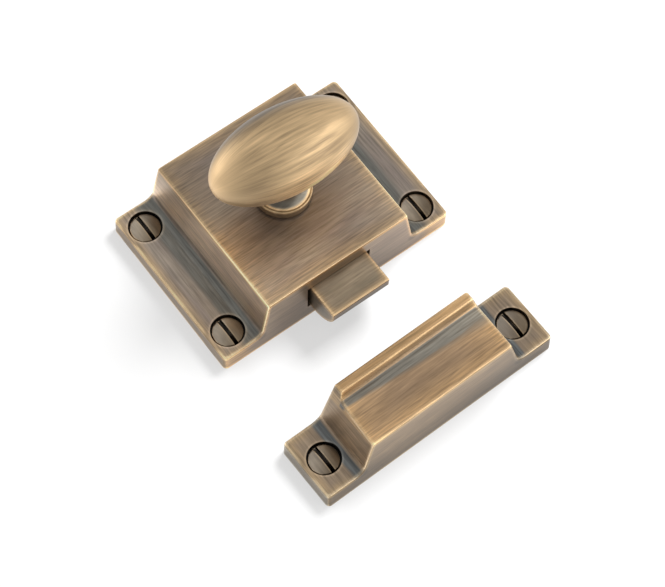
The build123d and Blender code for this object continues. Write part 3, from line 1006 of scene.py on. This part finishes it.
def makeScrews(sizes, material):
    # threaded wood screws: four in the case and two in the keep
    start, size = startShape("fixingScrews", sizes)
    screw = oneScrew(start, size)
    grid = start.node(
        "GeometryNodeMeshGrid", {},
        {"Size X": size["Case Spread X"], "Size Y": size["Case Spread Y"], "Vertices X": 2, "Vertices Y": 2},
    )
    caseScrews = start.node("GeometryNodeInstanceOnPoints", {}, {"Points": grid, "Instance": screw})
    left, right = joined(start, 0.0 - size["Keep Reach"]), joined(start, size["Keep Reach"])
    line = start.node(
        "GeometryNodeMeshLine", {"mode": "END_POINTS"}, {"Count": 2, "Start Location": left, "Offset": right},
    )
    turn = joined(start, z=size["Keep Turn"])
    row = moved(start, line, joined(start, size["Keep X"], size["Keep Y"]), turn)
    placed = {"Points": row, "Instance": screw, "Rotation": turn}
    keepScrews = start.node("GeometryNodeInstanceOnPoints", {}, placed)
    both = start.node("GeometryNodeJoinGeometry", {}, {"Geometry": [caseScrews, keepScrews]})
    head = screwHead("case_screw_1", sizes["Shank Top"])
    return finishShape("fixingScrews", start, both, head, sizes, material)


wireRadius = 0.3 * mm
springLow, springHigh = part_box("bolt_spring")
springSizes = {
    "Wire Radius": wireRadius,
    "Coil Radius": 2.3 * mm,
    "Turns": 8,
    "Axis Z": (springLow[2] + springHigh[2]) / 2,
    "Start Y": springLow[1] + wireRadius,
    "End Y": springHigh[1] - wireRadius,
    "Points": 400,
    "Wire Steps": 10,
}


def makeSpring(sizes, material):
    # a compression spring whose last turn at each end lies closed
    start, size = startShape("boltSpring", sizes)
    line = start.node("GeometryNodeCurvePrimitiveLine", {}, {"End": (0.0, 1.0, 0.0)})
    points = start.node("GeometryNodeResampleCurve", {}, {"Curve": line, "Count": size["Points"]})
    share = start.node("GeometryNodeSplineParameter", output="Factor")
    angle = share * size["Turns"] * (2 * math.pi)
    closed = size["Wire Radius"] * 2 * size["Turns"]
    oneTurn = 1.0 / size["Turns"]
    rising = start.node(
        "ShaderNodeMapRange", {},
        {"Value": share, "From Min": oneTurn, "From Max": 1 - oneTurn, "To Min": 0.0, "To Max": 1.0},
    )
    along = size["Start Y"] + closed * share + rising * (size["End Y"] - size["Start Y"] - closed)
    x = size["Coil Radius"] * angle.maths("COSINE", angle)
    z = size["Axis Z"] + size["Coil Radius"] * angle.maths("SINE", angle)
    spots = joined(start, x, along, z)
    coil = start.node("GeometryNodeSetPosition", {}, {"Geometry": points, "Position": spots})
    circle = {"Resolution": size["Wire Steps"], "Radius": size["Wire Radius"]}
    wire = start.node("GeometryNodeCurvePrimitiveCircle", {}, circle)
    tube = swept(start, coil, wire)
    return finishShape("boltSpring", start, tube, bpy.data.meshes.new("boltSpring"), sizes, material)


screws = makeScrews(screwSizes, screwBrass)
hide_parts(*[f"case_screw_{n}" for n in range(1, 5)], *[f"keep_screw_{n}" for n in range(1, 3)])
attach(screws, "latch")
print("screws made:", len(screws.data.polygons), "faces")

spring = makeSpring(springSizes, metals["brightSteel"])
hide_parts("bolt_spring")
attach(spring, "latch")
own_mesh(spring)
print("spring made:", len(spring.data.polygons), "faces")


# Parts that keep their CAD shape

coats = {
    "latch_case": caseBrass,
    "keep": keepBrass,
    "bolt": boltBrass,
    "knob": knobBrass,
    "knob_washer": washerBrass,
    "back_plate": metals["plateSteel"],
    **{f"plate_screw_{n}": metals["plateSteel"] for n in range(1, 5)},
    "spindle_bush": metals["bushBrass"],
    "cam": metals["bushBrass"],
    "spindle": metals["brightSteel"],
    "grub_screw": metals["brightSteel"],
    "spring_rod": metals["brightSteel"],
    "cam_pin": metals["brightSteel"],
}
for part, material in coats.items():
    nodes[part].data.materials.clear()
    nodes[part].data.materials.append(material)
print("parts dressed")


floorValues = {
    "half": 2.0,
    "height": -0.02 * mm,
    "paint": colour(147, 147, 147),
    "glowColour": colour(250, 250, 250),
    "glow": 0.57,
    "roughness": 0.9,
}


def addFloor(values):
    half, low = values["half"], values["height"]
    mesh = bpy.data.meshes.new("floor")
    corners = [(-half, -half, low), (half, -half, low), (half, half, low), (-half, half, low)]
    mesh.from_pydata(corners, [], [(0, 1, 2, 3)])
    floor = bpy.data.objects.new("floor", mesh)
    bpy.context.scene.collection.objects.link(floor)
    material, start = startMaterial("floorPaint")
    shader = start.node(
        "ShaderNodeBsdfPrincipled", {},
        {
            "Base Color": values["paint"], "Roughness": values["roughness"], "Specular IOR Level": 0.0,
            "Emission Color": values["glowColour"], "Emission Strength": values["glow"],
        },
    )
    start.node("ShaderNodeOutputMaterial", {}, {"Surface": shader})
    mesh.materials.append(material)


addFloor(floorValues)
print("floor laid")
